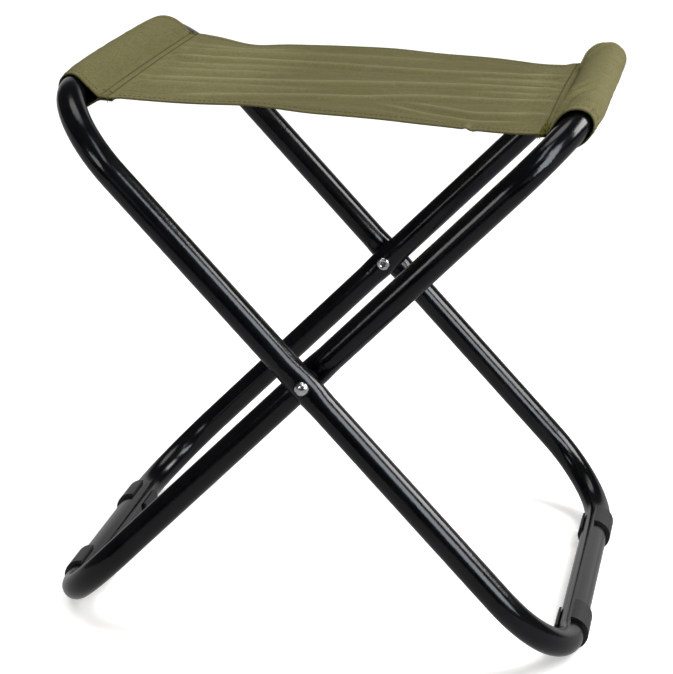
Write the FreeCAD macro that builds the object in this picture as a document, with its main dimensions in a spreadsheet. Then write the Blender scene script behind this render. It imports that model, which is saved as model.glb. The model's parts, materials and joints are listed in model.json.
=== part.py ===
import FreeCAD, Part
import math
import os

import Sketcher

# Folding camp stool.  Two closed loops of bent round tube cross like an X and turn on two rivets; a cloth
# seat is sewn round the two upper crossbars and plastic clips on the lower crossbars are the feet.
# X runs from side to side, Y from front (-) to rear (+) and Z is up.  The origin is on the floor, in the
# middle of the stool.

DIMENSIONS = {
    # bent tube loops
    "tube_diameter": 19.0,
    "tube_wall": 1.0,
    "bend_radius": 61.0,
    "leg_angle": 46.1,
    "leg_above": 241.0,
    "leg_below": 250.0,
    "outer_width": 340.0,
    "inner_width": 300.4,
    "butt_gap": 0.5,
    # the tube pressed flatter where the loops cross
    "press_half_length": 22.0,
    "press_half_width": 10.1,
    "press_half_depth": 8.85,
    "rivet_seat_depth": 8.2,
    "rivet_seat_diameter": 11.0,
    # insert inside each upper crossbar
    "joiner_diameter": 16.9,
    "joiner_bore": 14.5,
    "joiner_length": 70.0,
    # rivets and washers
    "rivet_diameter": 6.0,
    "rivet_hole_fixed": 6.1,
    "rivet_hole_turning": 6.15,
    "rivet_head_diameter": 9.4,
    "rivet_head_height": 2.4,
    "rivet_tail_ring": 3.2,
    "rivet_tail_section": 1.5,
    "rivet_hollow_depth": 8.0,
    "rivet_end_play": 0.3,
    "washer_diameter": 15.0,
    "washer_thickness": 1.7,
    "washer_gap": 0.05,
    # foot clips
    "clip_thickness": 2.5,
    "clip_flat_depth": 0.3,
    "clip_length": 31.5,
    "clip_open_angle": 92.0,
    "clip_lip_height": 5.2,
    "clip_lip_thickness": 1.5,
    "clip_edge_round": 0.4,
    "clip_outer_offset": 93.0,
    "clip_inner_front_offset": 73.0,
    "clip_inner_rear_offset": 66.0,
    # cloth
    "cloth_width": 254.0,
    "cloth_thickness": 0.8,
    "sleeve_gap": 0.3,
    "sleeve_cut_gap": 0.5,
    "sleeve_seam": 19.0,
    "sleeve_flap": 30.0,
    "left_seam_drop": 2.5,
    "right_seam_drop": 9.0,
    "panel_gap": 0.4,
    "stitch_diameter": 0.8,
    "stitch_first_row": 21.0,
    "stitch_row_spacing": 4.8,
    "stitch_length": 250.0,
    "stitch_lift": 0.02,
    "hem_stitch_inset": 9.0,
    "hem_stitch_end_gap": 1.0,
}

doc = FreeCAD.newDocument("camp_stool")
sheet = doc.addObject("Spreadsheet::Sheet", "dims")
for row, (alias, value) in enumerate(DIMENSIONS.items(), start=1):
    sheet.set("A%d" % row, alias)
    sheet.set("B%d" % row, str(value))
    sheet.setAlias("B%d" % row, alias)
doc.recompute()

X_AXIS = FreeCAD.Vector(1, 0, 0)
Y_AXIS = FreeCAD.Vector(0, 1, 0)
Z_AXIS = FreeCAD.Vector(0, 0, 1)
subparts = []


def dim(alias):
    return float(sheet.get(alias))


def bind(obj, **expressions):
    """Drive the named properties from the spreadsheet."""
    for prop, expression in expressions.items():
        obj.setExpression(prop, expression)
    return obj


def finish(obj, node, position=FreeCAD.Vector(), rotation=FreeCAD.Rotation()):
    """Name a finished sub-part and put it in its place."""
    obj.Label = node
    obj.Placement = FreeCAD.Placement(position, rotation)
    subparts.append(obj)
    return obj


leg_angle = math.radians(dim("leg_angle"))
tube_radius = dim("tube_diameter") / 2
clip_radius = tube_radius + dim("clip_thickness")
pivot_height = dim("leg_below") * math.sin(leg_angle) + clip_radius - dim("clip_flat_depth")
upper_bar_x = dim("leg_above") * math.cos(leg_angle)
upper_bar_z = pivot_height + dim("leg_above") * math.sin(leg_angle)
lower_bar_x = dim("leg_below") * math.cos(leg_angle)
lower_bar_z = pivot_height - dim("leg_below") * math.sin(leg_angle)
pivot = FreeCAD.Vector(0, 0, pivot_height)
# In a loop's own frame x runs up the legs, y along the crossbars, and the rivets' axis is x = z = 0.
OUTER_TURN = FreeCAD.Rotation(Y_AXIS, 180 + dim("leg_angle"))
INNER_TURN = FreeCAD.Rotation(Y_AXIS, -dim("leg_angle"))
ALONG_Y = FreeCAD.Rotation(X_AXIS, -90)


# ---------------------------------------------------------------- tube loops

def add_loop_path(name, width):
    """The centre line of a loop: a rounded rectangle, open for the butt joint in its upper crossbar."""
    half = dim(width) / 2
    radius = dim("bend_radius")
    top = dim("leg_above")
    bottom = -dim("leg_below")
    gap = dim("butt_gap") / 2
    inside = half - radius
    sketch = doc.addObject("Sketcher::SketchObject", name)
    points = [
        (top, gap), (top, inside), (top - radius, half), (bottom + radius, half), (bottom, inside),
        (bottom, -inside), (bottom + radius, -half), (top - radius, -half), (top, -inside), (top, -gap),
    ]
    points = [FreeCAD.Vector(x, y, 0) for x, y in points]
    centres = [(top - radius, inside), (bottom + radius, inside),
               (bottom + radius, -inside), (top - radius, -inside)]
    quarter = math.pi / 2
    for corner, centre in enumerate(centres):
        sketch.addGeometry(Part.LineSegment(points[2 * corner], points[2 * corner + 1]))
        circle = Part.Circle(FreeCAD.Vector(centre[0], centre[1], 0), Z_AXIS, radius)
        sketch.addGeometry(Part.ArcOfCircle(circle, corner * quarter, (corner + 1) * quarter))
    sketch.addGeometry(Part.LineSegment(points[8], points[9]))
    line_start, line_end = 1, 2
    for corner in range(4):
        line, arc, following = 2 * corner, 2 * corner + 1, 2 * corner + 2
        sketch.addConstraint(Sketcher.Constraint("Tangent", line, line_end, arc, line_start))
        sketch.addConstraint(Sketcher.Constraint("Tangent", arc, line_end, following, line_start))
    for bar in (0, 4, 8):
        sketch.addConstraint(Sketcher.Constraint("Vertical", bar))
    for arc in (3, 5, 7):
        sketch.addConstraint(Sketcher.Constraint("Equal", 1, arc))
    origin = (-1, 1)
    driven = [
        ("Radius", (1,), radius, "dims.bend_radius"),
        ("DistanceX", origin + (0, 1), top, "dims.leg_above"),
        ("DistanceX", (4, 1) + origin, -bottom, "dims.leg_below"),
        ("DistanceY", origin + (2, 1), half, "dims.%s / 2" % width),
        ("DistanceY", (6, 1) + origin, half, "dims.%s / 2" % width),
        ("DistanceY", origin + (0, 1), gap, "dims.butt_gap / 2"),
        ("DistanceY", (8, 2) + origin, gap, "dims.butt_gap / 2"),
        ("DistanceX", origin + (8, 2), top, "dims.leg_above"),
    ]
    for kind, elements, value, expression in driven:
        index = sketch.addConstraint(Sketcher.Constraint(kind, *elements, value))
        sketch.setExpression("Constraints[%d]" % index, expression)
    doc.recompute()
    return sketch


def add_sweep(name, path, radius_expression):
    """A round bar along the loop's centre line."""
    circle = doc.addObject("Part::Circle", name + "_section")
    bind(circle, Radius=radius_expression)
    start = FreeCAD.Vector(dim("leg_above"), dim("butt_gap") / 2, 0)
    circle.Placement = FreeCAD.Placement(start, ALONG_Y)
    doc.recompute()
    sweep = doc.addObject("Part::Sweep", name)
    sweep.Sections = [circle]
    sweep.Spine = (path, ["Edge%d" % (n + 1) for n in range(len(path.Shape.Edges))])
    sweep.Solid = True
    sweep.Frenet = False
    return sweep


# Along the pressed stretch, as parts of its half length: how far the section has gone from the round
# tube (0) to the full oval (1).  Two equal sections at each end keep the loft in line with the tube.
PRESSED_STATIONS = [
    (-1.0, 0.0), (-0.8, 0.0), (-0.4, 0.75), (0.0, 1.0), (0.4, 0.75), (0.8, 0.0), (1.0, 0.0),
]


def pressed_size(pressed, oval_size, skin):
    """The expression for one half size of a section, between round and oval, with the skin taken off."""
    return "(1 - {0}) * dims.tube_diameter / 2 + {0} * dims.{1} - {2}".format(pressed, oval_size, skin)


def add_pressed_stretch(name, width, side, skin):
    """The stretch of a leg at the rivet, pressed from round to oval; skin is the layer taken off."""
    turn = FreeCAD.Rotation(Z_AXIS, Y_AXIS, X_AXIS, "ZXY")
    sections = []
    for number, (place, pressed) in enumerate(PRESSED_STATIONS):
        oval = doc.addObject("Part::Ellipse", "%s_section_%d" % (name, number))
        bind(oval, MajorRadius=pressed_size(pressed, "press_half_width", skin),
             MinorRadius=pressed_size(pressed, "press_half_depth", skin))
        centre = FreeCAD.Vector(place * dim("press_half_length"), side * dim(width) / 2, 0)
        oval.Placement = FreeCAD.Placement(centre, turn)
        sections.append(oval)
    doc.recompute()
    loft = doc.addObject("Part::Loft", name)
    loft.Sections = sections
    loft.Solid = True
    loft.Ruled = False
    return loft


def add_round_bar(name, path, width, skin):
    """The solid bar inside a loop's outer surface (skin 0) or inside its bore (skin = the wall)."""
    sweep = add_sweep(name + "_sweep", path, "dims.tube_diameter / 2 - %s" % skin)
    windows = []
    stretches = []
    for side in (-1, 1):
        suffix = "front" if side < 0 else "rear"
        window = doc.addObject("Part::Box", "%s_window_%s" % (name, suffix))
        bind(window, Length="2 * dims.press_half_length", Width="2 * dims.tube_diameter",
             Height="2 * dims.tube_diameter")
        leg = side * dim(width) / 2
        window.Placement.Base = FreeCAD.Vector(
            -dim("press_half_length"), leg - dim("tube_diameter"), -dim("tube_diameter"))
        windows.append(window)
        stretches.append(add_pressed_stretch("%s_pressed_%s" % (name, suffix), width, side, skin))
    opened = sweep
    for number, window in enumerate(windows):
        cut = doc.addObject("Part::Cut", "%s_opened_%d" % (name, number))
        cut.Base = opened
        cut.Tool = window
        opened = cut
    whole = doc.addObject("Part::MultiFuse", name)
    whole.Shapes = [opened] + stretches
    return whole


def add_rivet_cutters(name, width, hole):
    """Rivet holes through both legs of a loop."""
    cutters = []
    for side in (-1, 1):
        leg = side * dim(width) / 2
        bore = doc.addObject("Part::Cylinder", "%s_hole_%+d" % (name, side))
        bind(bore, Radius="dims.%s / 2" % hole, Height="2 * dims.tube_diameter")
        bore.Placement = FreeCAD.Placement(FreeCAD.Vector(0, leg - dim("tube_diameter"), 0), ALONG_Y)
        cutters.append(bore)
    return cutters


def add_seats(name, width, outwards, skin):
    """Short cylinders that press the flat seats of the rivets' heads or tails into both legs.

    outwards is +1 where the seats are on the loop's outer faces and -1 on its inner faces; skin is true
    for the bore, whose seats stand one wall deeper."""
    seats = []
    for side in (-1, 1):
        direction = side * outwards
        depth = dim("rivet_seat_depth") - (dim("tube_wall") if skin else 0)
        seat = doc.addObject("Part::Cylinder", "%s_seat_%+d" % (name, side))
        grow = " + 2 * dims.tube_wall" if skin else ""
        bind(seat, Radius="(dims.rivet_seat_diameter%s) / 2" % grow, Height="dims.tube_diameter")
        start = side * dim(width) / 2 + direction * depth
        if direction < 0:
            start -= dim("tube_diameter")
        seat.Placement = FreeCAD.Placement(FreeCAD.Vector(0, start, 0), ALONG_Y)
        seats.append(seat)
    return seats


def cut_with(name, base, tools):
    joined = doc.addObject("Part::MultiFuse", name + "_tools")
    joined.Shapes = tools
    cut = doc.addObject("Part::Cut", name)
    cut.Base = base
    cut.Tool = joined
    return cut


def add_loop(node, width, hole, outwards, turn):
    """One bent loop of hollow tube, pressed and drilled where it crosses the other."""
    path = add_loop_path(node + "_path", width)
    skin_bar = add_round_bar(node + "_skin", path, width, "0")
    skin = cut_with(node + "_skin_seated", skin_bar, add_seats(node + "_skin", width, outwards, False))
    bore_bar = add_round_bar(node + "_bore", path, width, "dims.tube_wall")
    bore = cut_with(node + "_bore_seated", bore_bar, add_seats(node + "_bore", width, outwards, True))
    hollow = doc.addObject("Part::Cut", node + "_hollow")
    hollow.Base = skin
    hollow.Tool = bore
    drilled = cut_with(node + "_drilled", hollow, add_rivet_cutters(node, width, hole))
    finish(drilled, node, pivot, turn)
    return path


outer_path = add_loop("outer_frame_tube", "outer_width", "rivet_hole_fixed", 1, OUTER_TURN)
inner_path = add_loop("inner_frame_tube", "inner_width", "rivet_hole_turning", -1, INNER_TURN)


# ---------------------------------------------------------------- joiners

def add_joiner(node, side):
    """The tubular insert that holds a loop's two butting ends together inside its upper crossbar."""
    body = doc.addObject("Part::Cylinder", node + "_body")
    bind(body, Radius="dims.joiner_diameter / 2", Height="dims.joiner_length")
    bore = doc.addObject("Part::Cylinder", node + "_bore")
    bind(bore, Radius="dims.joiner_bore / 2", Height="dims.joiner_length")
    joiner = doc.addObject("Part::Cut", node + "_cut")
    joiner.Base = body
    joiner.Tool = bore
    start = FreeCAD.Vector(side * upper_bar_x, -dim("joiner_length") / 2, upper_bar_z)
    finish(joiner, node, start, ALONG_Y)


add_joiner("outer_frame_joiner", -1)
add_joiner("inner_frame_joiner", 1)


# ---------------------------------------------------------------- rivets and washers

outer_seat_y = dim("outer_width") / 2 + dim("rivet_seat_depth")
inner_seat_y = dim("inner_width") / 2 - dim("rivet_seat_depth")
rivet_grip = outer_seat_y - inner_seat_y + dim("rivet_end_play")


def add_rivet(node, side):
    """A semi-tubular rivet: domed head outside the outer loop, rolled hollow tail inside the other."""
    rise = dim("rivet_head_height")
    half = dim("rivet_head_diameter") / 2
    dome_radius = (half ** 2 + rise ** 2) / (2 * rise)
    dome = doc.addObject("Part::Sphere", node + "_dome")
    bind(dome, Radius="((dims.rivet_head_diameter / 2)^2 + dims.rivet_head_height^2)"
                      " / (2 * dims.rivet_head_height)")
    dome.Placement.Base = FreeCAD.Vector(0, 0, dome_radius - rise)
    trim = doc.addObject("Part::Cylinder", node + "_trim")
    bind(trim, Radius="dims.rivet_head_diameter", Height="dims.rivet_head_height")
    trim.Placement.Base = FreeCAD.Vector(0, 0, -rise)
    head = doc.addObject("Part::Common", node + "_head")
    head.Base = dome
    head.Tool = trim
    shank = doc.addObject("Part::Cylinder", node + "_shank")
    shank_end = rivet_grip + dim("rivet_tail_section")
    bind(shank, Radius="dims.rivet_diameter / 2")
    shank.Height = shank_end
    ring = doc.addObject("Part::Torus", node + "_ring")
    bind(ring, Radius1="dims.rivet_tail_ring", Radius2="dims.rivet_tail_section")
    ring.Placement.Base = FreeCAD.Vector(0, 0, shank_end)
    solid = doc.addObject("Part::MultiFuse", node + "_solid")
    solid.Shapes = [head, shank, ring]
    hollow = doc.addObject("Part::Cylinder", node + "_hollow")
    bind(hollow, Radius="dims.rivet_tail_ring - dims.rivet_tail_section",
         Height="2 * dims.rivet_hollow_depth")
    hollow.Placement.Base = FreeCAD.Vector(0, 0, shank_end - dim("rivet_hollow_depth"))
    rivet = doc.addObject("Part::Cut", node + "_cut")
    rivet.Base = solid
    rivet.Tool = hollow
    turn = FreeCAD.Rotation(X_AXIS, -90 if side < 0 else 90)
    finish(rivet, node, FreeCAD.Vector(0, side * outer_seat_y, pivot_height), turn)


def add_washer(node, side):
    """The spacer washer on a rivet, between the two pressed legs."""
    body = doc.addObject("PartDesign::Body", node + "_body")
    sketch = add_body_sketch(body, node + "_sketch", "XZ_Plane")
    for radius, expression in (
            (dim("washer_diameter") / 2, "dims.washer_diameter / 2"),
            (dim("rivet_hole_fixed") / 2, "dims.rivet_hole_fixed / 2")):
        circle = sketch.addGeometry(Part.Circle(FreeCAD.Vector(), Z_AXIS, radius))
        sketch.addConstraint(Sketcher.Constraint("Coincident", circle, 3, -1, 1))
        index = sketch.addConstraint(Sketcher.Constraint("Radius", circle, radius))
        sketch.setExpression("Constraints[%d]" % index, expression)
    add_symmetric_pad(body, sketch, node, "dims.washer_thickness")
    outer_face = dim("outer_width") / 2 - dim("press_half_depth") - dim("washer_gap")
    centre_y = side * (outer_face - dim("washer_thickness") / 2)
    finish(body, node, FreeCAD.Vector(0, centre_y, pivot_height))


def add_body_sketch(body, name, role):
    sketch = body.newObject("Sketcher::SketchObject", name)
    plane = next(f for f in body.Origin.OriginFeatures if f.Role == role)
    sketch.AttachmentSupport = [(plane, "")]
    sketch.MapMode = "FlatFace"
    return sketch


def add_symmetric_pad(body, sketch, name, length):
    pad = body.newObject("PartDesign::Pad", name + "_pad")
    pad.Profile = sketch
    pad.SideType = "Symmetric"
    pad.setExpression("Length", length)
    doc.recompute()


for side, place in ((-1, "front"), (1, "rear")):
    add_rivet(place + "_rivet", side)
    add_washer(place + "_spacer_washer", side)


# ---------------------------------------------------------------- foot clips

def add_clip(node, bar_side, y):
    """A C-shaped clip round the lower crossbar.

    It is open at the top on the inner side, where a thin lip stands off the tube, and flattened
    underneath where it rests on the floor."""
    inner = tube_radius
    outer = clip_radius
    bevel = dim("clip_edge_round")
    floor_depth = outer - dim("clip_flat_depth")
    flat_turn = math.acos(floor_depth / outer)
    open_turn = 2 * math.pi + math.radians(dim("clip_open_angle"))
    down = 1.5 * math.pi
    lip_top = dim("clip_lip_height")
    lip_outer = -math.sqrt((outer - bevel / 2) ** 2 - lip_top ** 2)
    lip_inner = lip_outer + dim("clip_lip_thickness")

    def on(radius, turn):
        return FreeCAD.Vector(radius * math.cos(turn), radius * math.sin(turn), 0)

    corners = [
        on(outer - bevel, open_turn), on(inner, open_turn), on(inner, math.pi),
        FreeCAD.Vector(lip_inner, lip_top, 0), FreeCAD.Vector(lip_outer, lip_top, 0), on(outer, math.pi),
        on(outer, down - flat_turn), on(outer, down + flat_turn), on(outer, open_turn - bevel / outer),
    ]
    outer_size = "dims.tube_diameter / 2 + dims.clip_thickness"
    arcs = {
        1: (inner, math.pi, open_turn, "dims.tube_diameter / 2"),
        5: (outer, math.pi, down - flat_turn, outer_size),
        7: (outer, down + flat_turn, open_turn - bevel / outer, outer_size),
    }
    body = doc.addObject("PartDesign::Body", node + "_body")
    sketch = add_body_sketch(body, node + "_sketch", "XZ_Plane")
    for number, corner in enumerate(corners):
        if number in arcs:
            radius, start, end, expression = arcs[number]
            circle = Part.Circle(FreeCAD.Vector(), Z_AXIS, radius)
            sketch.addGeometry(Part.ArcOfCircle(circle, start, end))
            sketch.addConstraint(Sketcher.Constraint("Coincident", number, 3, -1, 1))
            index = sketch.addConstraint(Sketcher.Constraint("Radius", number, radius))
            sketch.setExpression("Constraints[%d]" % index, expression)
        else:
            sketch.addGeometry(Part.LineSegment(corner, corners[(number + 1) % len(corners)]))
    # every piece runs on into the next; the inner arc is drawn the other way round
    ends = {number: (1, 2) for number in range(len(corners))}
    ends[1] = (2, 1)
    for number in range(len(corners)):
        following = (number + 1) % len(corners)
        sketch.addConstraint(Sketcher.Constraint("Coincident", number, ends[number][1],
                                                 following, ends[following][0]))
    add_symmetric_pad(body, sketch, node, "dims.clip_length")
    drum = doc.addObject("Part::Cylinder", node + "_drum")
    bind(drum, Radius=outer_size, Height="dims.clip_length")
    drum.Placement = FreeCAD.Placement(FreeCAD.Vector(0, -dim("clip_length") / 2, 0), ALONG_Y)
    doc.recompute()
    rounded = doc.addObject("Part::Fillet", node + "_rounded")
    rounded.Base = drum
    rims = [number for number, edge in enumerate(drum.Shape.Edges, start=1)
            if isinstance(edge.Curve, Part.Circle)]
    rounded.Edges = [(number, bevel, bevel) for number in rims]
    clip = doc.addObject("Part::Common", node + "_clip")
    clip.Base = body
    clip.Tool = rounded
    turn = FreeCAD.Rotation(Z_AXIS, 0 if bar_side > 0 else 180)
    finish(clip, node, FreeCAD.Vector(bar_side * lower_bar_x, y, lower_bar_z), turn)


add_clip("foot_clip_outer_front", 1, -dim("clip_outer_offset"))
add_clip("foot_clip_outer_rear", 1, dim("clip_outer_offset"))
add_clip("foot_clip_inner_front", -1, -dim("clip_inner_front_offset"))
add_clip("foot_clip_inner_rear", -1, dim("clip_inner_rear_offset"))


# ---------------------------------------------------------------- cloth

def tangent_points(radius, target):
    """The two points where lines from target touch a circle round the origin: upper first."""
    bearing = math.atan2(target.y, target.x)
    spread = math.acos(radius / math.hypot(target.x, target.y))
    return [FreeCAD.Vector(radius * math.cos(bearing + turn), radius * math.sin(bearing + turn), 0)
            for turn in (spread, -spread)]


def add_wrap(sketch, radius, upper_target, lower_target, radius_expression):
    """Cloth round the bar: an arc round the outside and a straight run from each of its ends."""
    upper = tangent_points(radius, upper_target)[0]
    lower = tangent_points(radius, lower_target)[1]
    start = math.atan2(upper.y, upper.x)
    end = math.atan2(lower.y, lower.x) + 2 * math.pi
    circle = Part.Circle(FreeCAD.Vector(), Z_AXIS, radius)
    arc = sketch.addGeometry(Part.ArcOfCircle(circle, start, end))
    sketch.addConstraint(Sketcher.Constraint("Coincident", arc, 3, -1, 1))
    index = sketch.addConstraint(Sketcher.Constraint("Radius", arc, radius))
    sketch.setExpression("Constraints[%d]" % index, radius_expression)
    under = sketch.addGeometry(Part.LineSegment(lower, lower_target))
    over = sketch.addGeometry(Part.LineSegment(upper_target, upper))
    sketch.addConstraint(Sketcher.Constraint("Coincident", arc, 2, under, 1))
    sketch.addConstraint(Sketcher.Constraint("Coincident", over, 2, arc, 1))
    return under, over


def add_sleeve(node, bar_side, drop, path, turn):
    """The end of the cloth, folded back round the upper crossbar and closed by the seam."""
    cloth = dim("cloth_thickness")
    flap_end = dim("sleeve_flap")
    inside_radius = tube_radius + dim("sleeve_gap")
    body = doc.addObject("PartDesign::Body", node + "_body")
    sketch = add_body_sketch(body, node + "_sketch", "XZ_Plane")
    flap_top = FreeCAD.Vector(flap_end, cloth - drop, 0)
    flap_bottom = FreeCAD.Vector(flap_end, -cloth - drop, 0)
    under, over = add_wrap(sketch, inside_radius + cloth, flap_top, flap_bottom,
                           "dims.tube_diameter / 2 + dims.sleeve_gap + dims.cloth_thickness")
    end = sketch.addGeometry(Part.LineSegment(flap_bottom, flap_top))
    sketch.addConstraint(Sketcher.Constraint("Coincident", under, 2, end, 1))
    sketch.addConstraint(Sketcher.Constraint("Coincident", end, 2, over, 1))
    seam = FreeCAD.Vector(dim("sleeve_seam"), -drop * dim("sleeve_seam") / flap_end, 0)
    under, over = add_wrap(sketch, inside_radius, seam, seam, "dims.tube_diameter / 2 + dims.sleeve_gap")
    sketch.addConstraint(Sketcher.Constraint("Coincident", under, 2, over, 1))
    add_symmetric_pad(body, sketch, node, "dims.cloth_width")
    body.Placement = FreeCAD.Placement(
        FreeCAD.Vector(bar_side * upper_bar_x, 0, upper_bar_z),
        FreeCAD.Rotation(Z_AXIS, 0 if bar_side < 0 else 180))
    clearance = add_sweep(node + "_clearance", path, "dims.tube_diameter / 2 + dims.sleeve_cut_gap")
    clearance.Placement = FreeCAD.Placement(pivot, turn)
    sleeve = doc.addObject("Part::Cut", node + "_cut")
    sleeve.Base = body
    sleeve.Tool = clearance
    finish(sleeve, node)


add_sleeve("left_sleeve", -1, dim("left_seam_drop"), outer_path, OUTER_TURN)
add_sleeve("right_sleeve", 1, dim("right_seam_drop"), inner_path, INNER_TURN)

panel_edge = upper_bar_x - dim("sleeve_flap") - dim("panel_gap")
left_z = upper_bar_z - dim("left_seam_drop")
right_z = upper_bar_z - dim("right_seam_drop")


def add_panel(node):
    """The seat between the two sleeves: one thin slab, a little lower on the right."""
    half_cloth = dim("cloth_thickness") / 2
    body = doc.addObject("PartDesign::Body", node + "_body")
    sketch = add_body_sketch(body, node + "_sketch", "XZ_Plane")
    middle_z = (left_z + right_z) / 2
    corners = [
        FreeCAD.Vector(-panel_edge, left_z - middle_z - half_cloth, 0),
        FreeCAD.Vector(panel_edge, right_z - middle_z - half_cloth, 0),
        FreeCAD.Vector(panel_edge, right_z - middle_z + half_cloth, 0),
        FreeCAD.Vector(-panel_edge, left_z - middle_z + half_cloth, 0),
    ]
    for number in range(4):
        sketch.addGeometry(Part.LineSegment(corners[number], corners[(number + 1) % 4]))
    for number in range(4):
        sketch.addConstraint(Sketcher.Constraint("Coincident", number, 2, (number + 1) % 4, 1))
    for upright in (1, 3):
        lower_end, upper_end = (1, 2) if upright == 1 else (2, 1)
        sketch.addConstraint(Sketcher.Constraint("Vertical", upright))
        index = sketch.addConstraint(Sketcher.Constraint(
            "DistanceY", upright, lower_end, upright, upper_end, 2 * half_cloth))
        sketch.setExpression("Constraints[%d]" % index, "dims.cloth_thickness")
    add_symmetric_pad(body, sketch, node, "dims.cloth_width")
    finish(body, node, FreeCAD.Vector(0, 0, middle_z))


add_panel("seat_panel")


def add_seam_stitching(node, bar_side, drop):
    """The two rows of thread that close a sleeve, lying on top of it."""
    cloth = dim("cloth_thickness")
    thread = dim("stitch_diameter") / 2
    top_target = FreeCAD.Vector(dim("sleeve_flap"), cloth - drop, 0)
    upper = tangent_points(tube_radius + dim("sleeve_gap") + cloth, top_target)[0]
    slope = (top_target.y - upper.y) / (top_target.x - upper.x)
    rows = []
    for number in range(2):
        reach = dim("stitch_first_row") + number * dim("stitch_row_spacing")
        surface = upper.y + slope * (reach - upper.x)
        lift = thread * math.sqrt(1 + slope ** 2) + dim("stitch_lift")
        row = doc.addObject("Part::Cylinder", "%s_row_%d" % (node, number))
        bind(row, Radius="dims.stitch_diameter / 2", Height="dims.stitch_length")
        row.Placement = FreeCAD.Placement(
            FreeCAD.Vector(bar_side * (upper_bar_x - reach), -dim("stitch_length") / 2,
                           upper_bar_z + surface + lift), ALONG_Y)
        rows.append(row)
    group = doc.addObject("Part::Compound", node + "_rows")
    group.Links = rows
    finish(group, node)


add_seam_stitching("left_seam_stitching", -1, dim("left_seam_drop"))
add_seam_stitching("right_seam_stitching", 1, dim("right_seam_drop"))


def add_hem_stitching(node, side):
    """The row of thread along a turned-in long edge of the seat, lying on top of it."""
    slope = (right_z - left_z) / (2 * panel_edge)
    run = 2 * (panel_edge - dim("hem_stitch_end_gap"))
    half_stack = (dim("cloth_thickness") + dim("stitch_diameter")) / 2
    lift = half_stack * math.sqrt(1 + slope ** 2) + dim("stitch_lift")
    thread = doc.addObject("Part::Cylinder", node + "_thread")
    bind(thread, Radius="dims.stitch_diameter / 2")
    thread.Height = run
    start_x = -run / 2 * math.cos(math.atan(slope))
    start = FreeCAD.Vector(start_x, side * (dim("cloth_width") / 2 - dim("hem_stitch_inset")),
                           (left_z + right_z) / 2 + slope * start_x + lift)
    finish(thread, node, start, FreeCAD.Rotation(Z_AXIS, FreeCAD.Vector(1, 0, slope)))


add_hem_stitching("front_hem_stitching", -1)
add_hem_stitching("rear_hem_stitching", 1)


# ---------------------------------------------------------------- checks and files

doc.recompute()
for obj in doc.Objects:
    if "Invalid" in obj.State or "Error" in obj.State:
        raise RuntimeError("%s is %s" % (obj.Name, obj.State))
for obj in subparts:
    if obj.Shape.isNull() or not obj.Shape.isValid():
        raise RuntimeError("%s has no valid shape" % obj.Label)

os.makedirs("parts", exist_ok=True)
for obj in subparts:
    obj.Shape.exportStep("parts/%s.step" % obj.Label)
    print("%-26s %2d solids %10.1f mm3" % (obj.Label, len(obj.Shape.Solids), obj.Shape.Volume))
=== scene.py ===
"""Folding camp stool: the cloth seat, its seams and threads, and every finish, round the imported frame."""

import json
import math
import random

import bpy
import numpy as np
from mathutils import Matrix, Vector, noise
from mathutils.geometry import convex_hull_2d


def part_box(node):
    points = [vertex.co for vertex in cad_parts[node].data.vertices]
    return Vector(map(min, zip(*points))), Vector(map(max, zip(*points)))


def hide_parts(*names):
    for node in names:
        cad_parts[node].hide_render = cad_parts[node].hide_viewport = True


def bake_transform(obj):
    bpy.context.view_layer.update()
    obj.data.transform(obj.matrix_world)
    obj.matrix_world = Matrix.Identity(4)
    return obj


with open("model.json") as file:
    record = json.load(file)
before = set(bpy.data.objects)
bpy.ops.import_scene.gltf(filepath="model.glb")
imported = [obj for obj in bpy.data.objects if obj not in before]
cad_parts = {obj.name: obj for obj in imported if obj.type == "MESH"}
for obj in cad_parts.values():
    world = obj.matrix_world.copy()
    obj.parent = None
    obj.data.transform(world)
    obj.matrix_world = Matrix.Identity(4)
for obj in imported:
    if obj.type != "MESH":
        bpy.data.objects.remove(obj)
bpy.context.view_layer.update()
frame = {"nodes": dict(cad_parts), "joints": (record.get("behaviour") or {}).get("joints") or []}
MM = 0.001

# ---- places taken from the frame

pivot = Vector(frame["joints"][0]["pos_m"])
right_bar = sum(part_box("inner_frame_joiner"), Vector()) / 2
bar_reach = right_bar.x / MM
bar_height = right_bar.z
tube_radius = (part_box("outer_frame_tube")[1].z - bar_height) / MM
cloth_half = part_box("seat_panel")[1].y / MM
leg_slope = math.atan2(bar_height - pivot.z, right_bar.x - pivot.x)

# ---- sizes of the cloth, in millimetres

BEND_RADIUS = 61.0          # of the frame's bends, along the tube's centre line
CLOTH_THICKNESS = 0.5
WRAP_GAP = 0.75             # from the tube to the middle of the cloth
HEM_WIDTH = 9.0
FOLD_RADIUS = 0.28          # half the distance between the two layers of a hem
FOLD_TURNS = (36, 72, 108, 144)     # points round its fold, in degrees
HEM_BULK = 0.5              # how much further from the tube the hemmed ends lie
FLAP_REACH = 30.0           # from a bar's centre to the end of its flap, where the panel takes over
PINCH_REACH = 19.8          # from a bar's centre to where the two layers of a sleeve meet
SEAM_ROWS = (20.6, 25.4)    # the two rows of stitches, from the bar's centre
LAYER_GAP = 0.7             # between the layers of cloth in the seam
GROOVE_DEPTH = 0.3          # how far a row of stitches pulls the cloth in
FOLD_RISES = (-0.3, 0.25)   # a slanting fold starts and ends between these shares of its length
FOLD_FALLS = (0.6, 1.3)
WRINKLES_START = (11, 18)   # a sleeve's wrinkles come in and die away between these distances round it
WRINKLES_END = (84, 92)
RECESS_START = (20, 46)     # the bend's push on its ends comes in between these
RECESS_END = np.array([34, 19])     # and dies away between these, back from the flap's end
HEM_SWELL = (-8.0, 2.0)     # the hemmed ends get thicker between these places, from the hem's inner edge
DROOP_END = 6.0             # the ends' droop would be complete this far past the cloth's edge
CROWN_WAY = (0.72, 0.69)    # of a sleeve's crown: outwards and up
PINCH_RISE = 0.8            # from the panel's edge up to where the layers of a sleeve meet
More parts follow.
